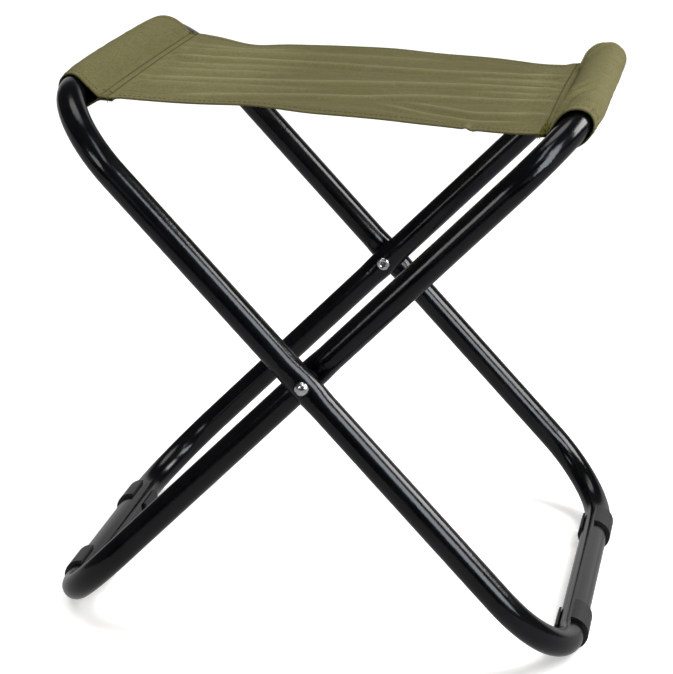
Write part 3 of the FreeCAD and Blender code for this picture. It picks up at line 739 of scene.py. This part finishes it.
def add_threads(name, strands, radius, material):
    """Many short threads as one mesh; each strand is a polyline in metres, rounded off at its ends."""
    points = []
    faces = []
    uvs = []
    sides = range(THREAD_SIDES)
    turns = np.linspace(0, 2 * math.pi, THREAD_SIDES, endpoint=False)
    for strand in strands:
        strand = np.asarray(strand, float)
        run = along(strand)
        steps = unit(np.gradient(strand, axis=0))
        first = unit(np.cross(steps, ASKEW))
        second = np.cross(steps, first)
        size = radius * MM * np.clip(np.minimum(run, run[-1] - run) / (radius * MM * 1.5), 0.35, 1.0)
        start = len(points)
        for ring, place in enumerate(strand):
            circle = np.outer(np.cos(turns), first[ring]) + np.outer(np.sin(turns), second[ring])
            points.extend((place + size[ring] * circle).tolist())
            uvs.extend([(run[ring], side / THREAD_SIDES) for side in sides])
        last = len(points) - THREAD_SIDES
        for low in range(start, last, THREAD_SIDES):
            high = low + THREAD_SIDES
            for side in sides:
                following = (side + 1) % THREAD_SIDES
                faces.append((low + side, low + following, high + following, high + side))
        faces.append(tuple(start + side for side in reversed(sides)))
        faces.append(tuple(last + side for side in sides))
    mesh = bpy.data.meshes.new(name)
    mesh.from_pydata(points, [], faces)
    layer = mesh.uv_layers.new(name="flat")
    loops = [vertex for face in faces for vertex in face]
    layer.data.foreach_set("uv", np.array(uvs, np.float32)[loops].ravel())
    mesh.update()
    mesh.shade_smooth()
    return add_object(name, mesh, material)


def stitch(start, end, up, rng):
    """One stitch: out of the cloth at start, just above it, and back in at end."""
    start, end, up = (np.asarray(value, float) for value in (start, end, up))
    sideways = unit(np.cross(end - start, up))
    sway = rng.uniform(-0.08, 0.08) * MM
    lifts = (-0.45, 0.02, 0.16, 0.17, 0.02, -0.45)
    shares = (0.0, 0.14, 0.38, 0.62, 0.86, 1.0)
    surface = CLOTH_THICKNESS / 2
    return [start + share * (end - start) + up * (surface + lift) * MM + sideways * sway * (1 - lift)
            for share, lift in zip(shares, lifts)]


def top_sampler(surface, columns, sign):
    """A function from (row, y) to a point and the outward normal on a grid's top layer."""
    layer = np.where(columns[:, 1] == 0.0)[0]
    top, ys = surface[:, layer], columns[layer, 0]
    normals = unit(np.cross(np.gradient(top, axis=0), np.gradient(top, axis=1)))

    def sample(row, y):
        low = int(np.clip(math.floor(row), 0, len(top) - 2))
        part = row - low
        values = []
        for table in (top, normals):
            line = table[low] * (1 - part) + table[low + 1] * part
            values.append(np.array([np.interp(y, ys, line[:, axis]) for axis in range(3)]))
        return values[0], sign * unit(values[1])

    return sample


def row_of_reach(reach):
    """The row of a sleeve's grid that lies at this distance from the bar's centre, in the seam."""
    return (FLAP_REACH - reach) / (FLAP_REACH - PINCH_REACH) * (SEAM_POINTS - 1)


def stitches_across(sample, row, end, rng):
    """A row of stitches across the seat, at one row of a sleeve's grid."""
    strands = []
    place = -end
    while place + STITCH_LENGTH <= end:
        jitter = rng.uniform(-SEAM_SWAY, SEAM_SWAY)
        first, up = sample(row + jitter, place)
        second, _ = sample(row - jitter, place + STITCH_LENGTH)
        strands.append(stitch(first, second, up, rng))
        place += STITCH_PITCH
    return strands


def stitches_along(sample, rows, spacing, y, rng):
    """A row of stitches along the hem at y; spacing is the grid's own step there."""
    strands = []
    row, last = rows
    while row + STITCH_LENGTH / spacing <= last:
        wander = rng.uniform(-HEM_SWAY, HEM_SWAY)
        first, up = sample(row, y + wander)
        second, _ = sample(row + STITCH_LENGTH / spacing, y - wander)
        strands.append(stitch(first, second, up, rng))
        row += STITCH_PITCH / spacing
    return strands


def back_tack(sample, y, rng, count, spread, wild):
    """The knotted start or end of a seam: short threads piled over each other."""
    strands = []
    for _ in range(count):
        row = row_of_reach(rng.uniform(SEAM_ROWS[0] - 1.6, SEAM_ROWS[1] + 1.2))
        place = y + spread * rng.uniform(-1, 1)
        point, up = sample(row, place)
        turn = rng.uniform(-0.9, 0.9) + (0 if rng.random() < 0.7 else math.pi / 2)
        direction = np.array([math.sin(turn), math.cos(turn), 0.0])
        length = rng.uniform(1.2, 3.4)
        rise = rng.uniform(0.1, 0.5) + (wild * rng.uniform(0, 1.6) if rng.random() < 0.35 else 0)
        base = point + up * (CLOTH_THICKNESS / 2) * MM
        shares = np.linspace(0, 1, 6)
        strands.append([base + direction * length * (share - 0.5) * MM
                        + up * (rise * math.sin(math.pi * share) - 0.15) * MM for share in shares])
    return strands


def loose_tails(sample, side, rng, count):
    """Cut thread ends that curl away from the seam's end and hang a few millimetres below it."""
    strands = []
    for _ in range(count):
        row = row_of_reach(rng.uniform(SEAM_ROWS[0] - 1, SEAM_ROWS[1] + 1))
        place, up = sample(row, side * (cloth_half - rng.uniform(0.5, 7.0)))
        place = place + up * 0.3 * MM
        way = np.array([rng.uniform(-0.7, 0.7), side * rng.uniform(0.4, 1.0), rng.uniform(0.2, 0.9)])
        step = rng.uniform(0.45, 0.95) * MM
        curl = rng.uniform(-0.5, 0.5)
        strand = [place - up * 0.8 * MM]
        for bend in range(9):
            strand.append(place)
            way = unit(way)
            place = place + way * step
            way = way + np.array([0.35 * math.cos(1.3 * bend) * curl, 0.25 * curl, -0.42])
        strands.append(strand)
    return strands


# ---- the seat


def follow(obj):
    """Bakes the piece's place into its mesh."""
    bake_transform(obj)


def edge_shade_and_soil(columns):
    """The edges are a little darker: painted shade at the hem's fold, with a little real soil."""
    return ease(np.abs(columns[:, 0]), cloth_half - EDGE_MARK, cloth_half - 0.2)[None, :]


def sleeve_marks(sleeve, columns, runs):
    """The panel's painted fold-line highlight dies away across the seam; painted shade darkens the grooves
    of the seam rows.
    """
    seam_end = np.full_like(columns[:, 0], sleeve["side"] * panel_reach)
    lines = panel_heights(seam_end, inside_hem(columns[:, 0]))[1]
    ridge_highlight = lines * (1 - ease(runs, 0.0, FLAP_REACH - SEAM_ROWS[0] + 1))
    # painted shade in the grooves of the seam rows
    groove_shade = sum(bell(runs, FLAP_REACH - row, 0.7) for row in SEAM_ROWS)
    # painted shade in the grooves and along the edges, where a little real soil adds to it
    return {"ridge_highlight": ridge_highlight, "shade_and_soil": np.clip(edge_shade_and_soil(columns) + 0.55 * groove_shade, 0.0, 1.0)}


def panel_marks(columns, run, ridge_highlight):
    """Painted shade: the middle of the seat is a little darker than its ends."""
    # painted shade over the seat's middle
    middle_shade = ease(run, *MIDDLE_SHADE_START) * (1 - ease(run, *(2 * panel_reach - MIDDLE_SHADE_END)))
    # painted shade (and along the edges a little real soil)
    return {"ridge_highlight": ridge_highlight, "shade_and_soil": np.maximum(edge_shade_and_soil(columns), 0.5 * middle_shade[:, None])}


def build_sleeve(name):
    """A sleeve's cloth, its flat size, a sampler for its stitches and how far round the bar it runs."""
    sleeve = SLEEVES[name]
    surface, runs, columns = sleeve_surface(name)
    flat_across = along(columns)
    flat = np.stack([runs * MM, np.broadcast_to(flat_across * MM, runs.shape)], axis=-1)
    attributes = sleeve_marks(sleeve, columns, runs)
    obj = add_grid(name + "_sleeve_cloth", surface, flat, attributes, sleeve["side"] > 0, cloth)
    size = (float(runs[-1].mean()) * MM, float(flat_across[-1]) * MM)
    return obj, size, top_sampler(surface, columns, sleeve["side"]), runs


def sleeve_threads(name, sample, runs):
    """The two seam rows, the hem rows round both ends, and the tacks at the seam's ends."""
    count, wildness, tails = SLEEVES[name]["tangle"]
    rng = random.Random(name)
    rows = []
    for reach in SEAM_ROWS:
        rows += stitches_across(sample, row_of_reach(reach), cloth_half - SEAM_ROW_MARGIN, rng)
    seams = add_threads(name + "_seam_threads", rows, THREAD_RADIUS, seam_thread)
    rows = []
    spacing = float(np.diff(runs[:, runs.shape[1] // 2])[SEAM_POINTS + 4:-FLAP_POINTS].mean())
    for y in (-hem_row, hem_row):
        rows += stitches_along(sample, (SEAM_POINTS + 2, len(runs) - FLAP_POINTS - 4), spacing, y, rng)
    hems = add_threads(name + "_end_threads", rows, HEM_THREAD_RADIUS, hem_thread)
    tacks = back_tack(sample, -cloth_half + FRONT_TACK[0], rng, count, FRONT_TACK[1], wildness)
    tacks += back_tack(sample, cloth_half - REAR_TACK[0], rng, REAR_TACKS, REAR_TACK[1], REAR_WILDNESS)
    tacks += loose_tails(sample, -1, rng, tails)
    knots = add_threads(name + "_seam_tacks", tacks, TACK_RADIUS, TACK_FINISH[name])
    return seams, hems, knots


def build_panel():
    """The panel's cloth, its flat size and a sampler for its stitches."""
    surface, ridge_highlight, columns = panel_surface()
    flat_across = along(columns)
    run = np.linspace(0, 2 * panel_reach, surface.shape[0])
    flat = np.stack(np.broadcast_arrays(run[:, None] * MM, flat_across[None, :] * MM), axis=-1)
    obj = add_grid("seat_cloth", surface, flat, panel_marks(columns, run, ridge_highlight), True, cloth)
    return obj, (2 * panel_reach * MM, float(flat_across[-1]) * MM), top_sampler(surface, columns, 1)


def hem_threads(name, sample, y):
    """The row of stitches of one of the panel's hems."""
    rng = random.Random(name)
    spacing = 2 * panel_reach / (PANEL_ROWS - 1)
    rows = (1.0 / spacing, PANEL_ROWS - 1 - 1.0 / spacing)
    return add_threads(name, stitches_along(sample, rows, spacing, y, rng), HEM_THREAD_RADIUS, hem_thread)


def build_seat():
    """The panel with its hems and both sleeves with their seams, each hiding the frame's part it takes the
    place of.
    """
    seat, seat_size, seat_sample = build_panel()
    front = hem_threads("front_hem_threads", seat_sample, -hem_row)
    rear = hem_threads("rear_hem_threads", seat_sample, hem_row)
    for obj, node, slot in ((seat, "seat_panel", "cloth"), (front, "front_hem_stitching", "thread"),
                            (rear, "rear_hem_stitching", "thread")):
        follow(obj)
        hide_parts(node)
    for name in SLEEVES:
        obj, size, sample, runs = build_sleeve(name)
        threads = sleeve_threads(name, sample, runs)
        for piece in (obj,) + threads:
            follow(piece)
        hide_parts(name + "_sleeve")
        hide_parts(name + "_seam_stitching")


build_seat()

# ---- floor, light and camera

FLOOR_SIZE = 14.0
FLOOR_GRAIN = 0.01
FLAG = (1.6, 0.25, -0.72)   # its half width, its height and its y
SILK_DIRECTION = (-0.2, 0.15, 0.968)
SILK_RADIANCE = 3.2
SKY_RADIANCE = 0.05
BACKDROP_RADIANCE = 0.62
CAMERA_TURN = (0.1931, 0.2858, 0.0160)      # yaw, pitch and roll
CAMERA_FROM_PIVOT = (0.28547, -1.65066, 0.48403)
WARM_WHITE = (1.0, 0.99, 0.97)
COOL_WHITE = (0.86, 0.93, 1.0)
PLAIN_WHITE = (1.0, 1.0, 1.0)
GLOSS_ONLY = ("glossy",)
CLOTH_ONLY = ("diffuse",)
ALL_BUT_GLOSS = ("camera", "diffuse", "shadow", "transmission")


def add_card(name, corners, material, seen_in_gloss):
    """One flat face that only glossy surfaces see, or that everything else does."""
    mesh = bpy.data.meshes.new(name)
    mesh.from_pydata(corners, [], [(0, 1, 2, 3)])
    card = add_object(name, mesh, material)
    card.visible_glossy = seen_in_gloss
    for ray in ALL_BUT_GLOSS:
        setattr(card, "visible_" + ray, not seen_in_gloss)


def add_floor(name, height, reflectance, glow, seen_in_gloss):
    """A large plain floor, like a back-lit table."""
    size = FLOOR_SIZE
    corners = [(-size, -size, height), (size, -size, height), (size, size, height), (-size, size, height)]
    material, tree, shader = new_material(name + "_paper", Roughness=0.9, IOR=1.2, Emission_Strength=glow)
    shader.inputs["Emission Color"].default_value = (1.0, 1.0, 1.0, 1)
    grain = noise_node(tree, object_coordinates(tree), 900.0, 2.0)
    tone = remap(tree, grain, 0.3, 0.7, reflectance - FLOOR_GRAIN, reflectance + FLOOR_GRAIN)
    drive(tree, shader, Base_Color=tone)
    add_card(name, corners, material, seen_in_gloss)


def add_softbox(name, place, size, radiance, colour, seen_by=("glossy", "diffuse"),
                target=(0.0, 0.0, 0.19)):
    """A soft light at a place, width by height, that faces the stool or its own target."""
    data = bpy.data.lights.new(name, "AREA")
    data.shape = "RECTANGLE"
    data.size, data.size_y = size
    data.color = colour
    data.energy = radiance * size[0] * size[1] * math.pi
    light = bpy.data.objects.new(name, data)
    light.location = place
    light.rotation_mode = "QUATERNION"
    light.rotation_quaternion = (Vector(place) - Vector(target)).to_track_quat("Z", "Y")
    light.visible_camera = False
    light.visible_glossy = "glossy" in seen_by
    light.visible_diffuse = "diffuse" in seen_by
    bpy.context.scene.collection.objects.link(light)


def add_flag():
    """A black card in front of the stool, seen only in reflections, keeps the tubes' middles dark."""
    half, height, y = FLAG
    corners = [(-half, y, 0.002), (half, y, 0.002), (half, y, height), (-half, y, height)]
    material, _, shader = new_material("flag_black", Roughness=1.0)
    shader.inputs["Base Color"].default_value = (0.0, 0.0, 0.0, 1)
    add_card("flag", corners, material, True)


def add_sky():
    """A round soft light overhead and a grey backdrop low behind the stool; dark elsewhere."""
    world = bpy.data.worlds.new("studio")
    world.use_nodes = True
    tree = world.node_tree
    direction = put(tree, "ShaderNodeTexCoord").outputs["Generated"]
    parts = put(tree, "ShaderNodeSeparateXYZ", {"Vector": direction})
    above = put(tree, "ShaderNodeVectorMath", {0: direction, 1: SILK_DIRECTION}, operation="DOT_PRODUCT")
    silk = smooth_step(tree, above.outputs["Value"], 0.945, 0.985, SILK_RADIANCE)
    behind = smooth_step(tree, parts.outputs["Y"], 0.70, 0.88, 1.0)
    low = smooth_step(tree, parts.outputs["Z"], 0.62, 0.40, BACKDROP_RADIANCE)
    backdrop = math_node(tree, "MULTIPLY", behind, low)
    strength = math_node(tree, "ADD", math_node(tree, "MAXIMUM", silk, SKY_RADIANCE), backdrop)
    background = tree.nodes["Background"]
    background.inputs["Color"].default_value = (1.0, 0.99, 0.975, 1)
    tree.links.new(strength, background.inputs["Strength"])
    bpy.context.scene.world = world


def smooth_step(tree, value, low, high, top):
    return remap(tree, value, low, high, 0.0, top, interpolation_type="SMOOTHSTEP")


def add_camera():
    """The photograph's own camera: its place, its turn and the part of its picture that was kept."""
    data = bpy.data.cameras.new("camera")
    camera = bpy.data.objects.new("camera", data)
    bpy.context.scene.collection.objects.link(camera)
    bpy.context.scene.camera = camera
    yaw, pitch, roll = CAMERA_TURN
    forward = Vector((-math.sin(yaw) * math.cos(pitch), math.cos(yaw) * math.cos(pitch), -math.sin(pitch)))
    level = Vector((math.cos(yaw), math.sin(yaw), 0))
    upright = level.cross(forward)
    right = level * math.cos(roll) + upright * math.sin(roll)
    up = upright * math.cos(roll) - level * math.sin(roll)
    turn = Matrix((right, up, -forward)).transposed()
    camera.matrix_world = Matrix.Translation(pivot + Vector(CAMERA_FROM_PIVOT)) @ turn.to_4x4()
    data.sensor_width = 36.0
    data.lens = 132.03
    data.shift_x = 0.0562
    data.shift_y = -0.0191
    data.clip_end = 60.0


add_floor("floor", 0.0, 0.86, 0.33, False)
add_floor("floor_in_reflections", -0.001, 0.72, 0.12, True)
add_flag()
add_sky()
add_softbox("right_front_strip", (0.745, -0.70, 0.62), (0.44, 0.84), 9.0, COOL_WHITE, GLOSS_ONLY)
add_softbox("right_side_box", (0.80, 0.10, 0.78), (0.54, 0.46), 12.0, WARM_WHITE, GLOSS_ONLY)
add_softbox("front_overhead", (0.15, -0.72, 1.26), (0.20, 0.64), 4.8, COOL_WHITE, GLOSS_ONLY)
add_softbox("left_front_low", (-0.49, -0.94, 0.50), (0.32, 0.26), 5.2, WARM_WHITE)
add_softbox("right_low_fill", (0.85, -0.10, 0.62), (0.60, 0.50), 9.0, WARM_WHITE, CLOTH_ONLY)
add_softbox("right_high_fill", (0.75, -0.10, 1.40), (0.60, 0.60), 13.2, WARM_WHITE, CLOTH_ONLY)
add_softbox("left_fill", (-0.60, -0.20, 0.95), (0.60, 0.50), 4.9, WARM_WHITE, CLOTH_ONLY)
add_softbox("overhead_fill", (-0.1, 0.1, 2.2), (1.6, 1.6), 0.8, WARM_WHITE, CLOTH_ONLY)
add_softbox("backdrop_wash", (0.0, 3.6, 2.6), (6.0, 4.0), 1.3, PLAIN_WHITE, CLOTH_ONLY, (0.0, 3.4, 0.0))
add_camera()
bpy.context.scene.view_settings.view_transform = "Standard"
